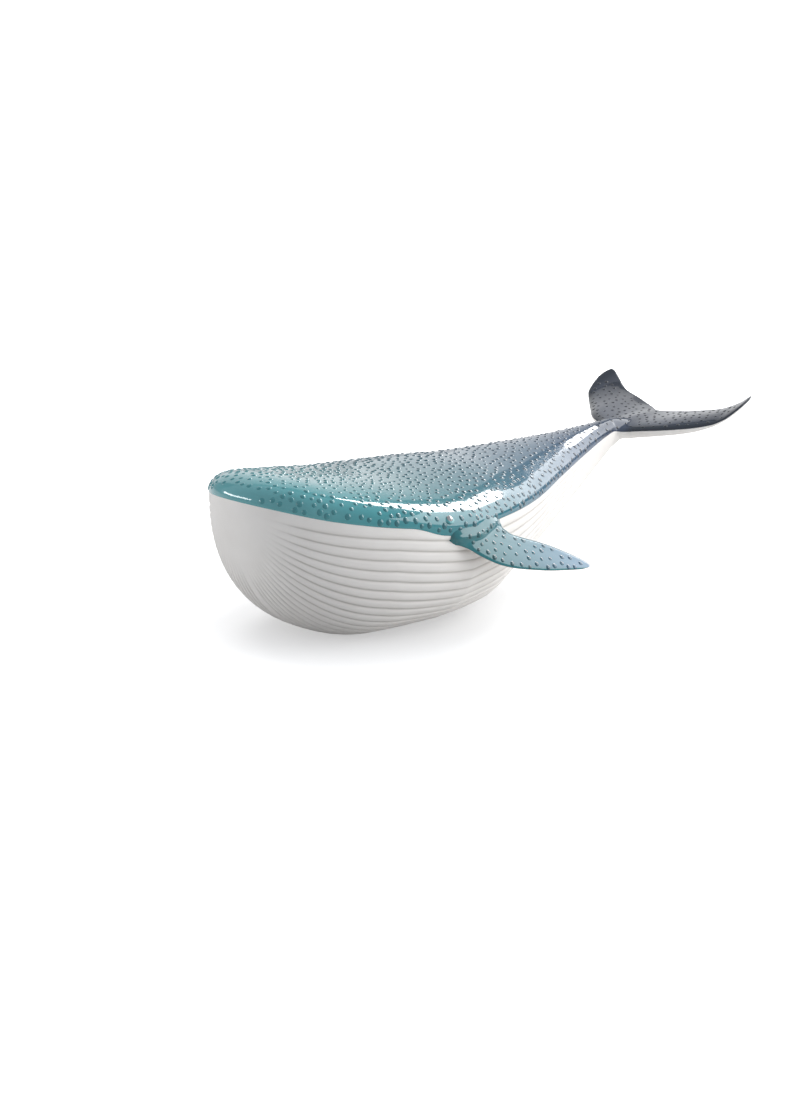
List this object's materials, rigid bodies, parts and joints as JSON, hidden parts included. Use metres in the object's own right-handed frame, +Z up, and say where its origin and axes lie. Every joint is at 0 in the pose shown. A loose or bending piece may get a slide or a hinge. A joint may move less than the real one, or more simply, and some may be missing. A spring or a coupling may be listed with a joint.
{
  "type": "whale figurine",
  "caption": "Hollow porcelain whale figurine with a pleated bisque belly, a lustre-glazed back, side flippers and raised tail flukes, resting on a flat foot.",
  "frame": {"origin": "on the resting plane, below the centre of the whole animal's length and breadth", "axes": "+X from the nose towards the tail, +Y towards the whale's right side, +Z up"},
  "size_m": [0.4799, 0.2542, 0.1301],
  "materials": {
    "bisque": "matt unglazed bisque, off-white",
    "lustre_glaze": "glossy lustre glaze with raised beads, teal at the head to lilac-blue and slate at the tail",
    "eye_lustre": "silvery metallic lustre, polished"
  },
  "bodies": {
    "root": {"belly_shell": "bisque", "back_shell": "lustre_glaze", "tail_flukes": "lustre_glaze", "left_flipper": "lustre_glaze", "right_flipper": "lustre_glaze", "left_eye": "eye_lustre", "right_eye": "eye_lustre"}
  },
  "joints": []
}
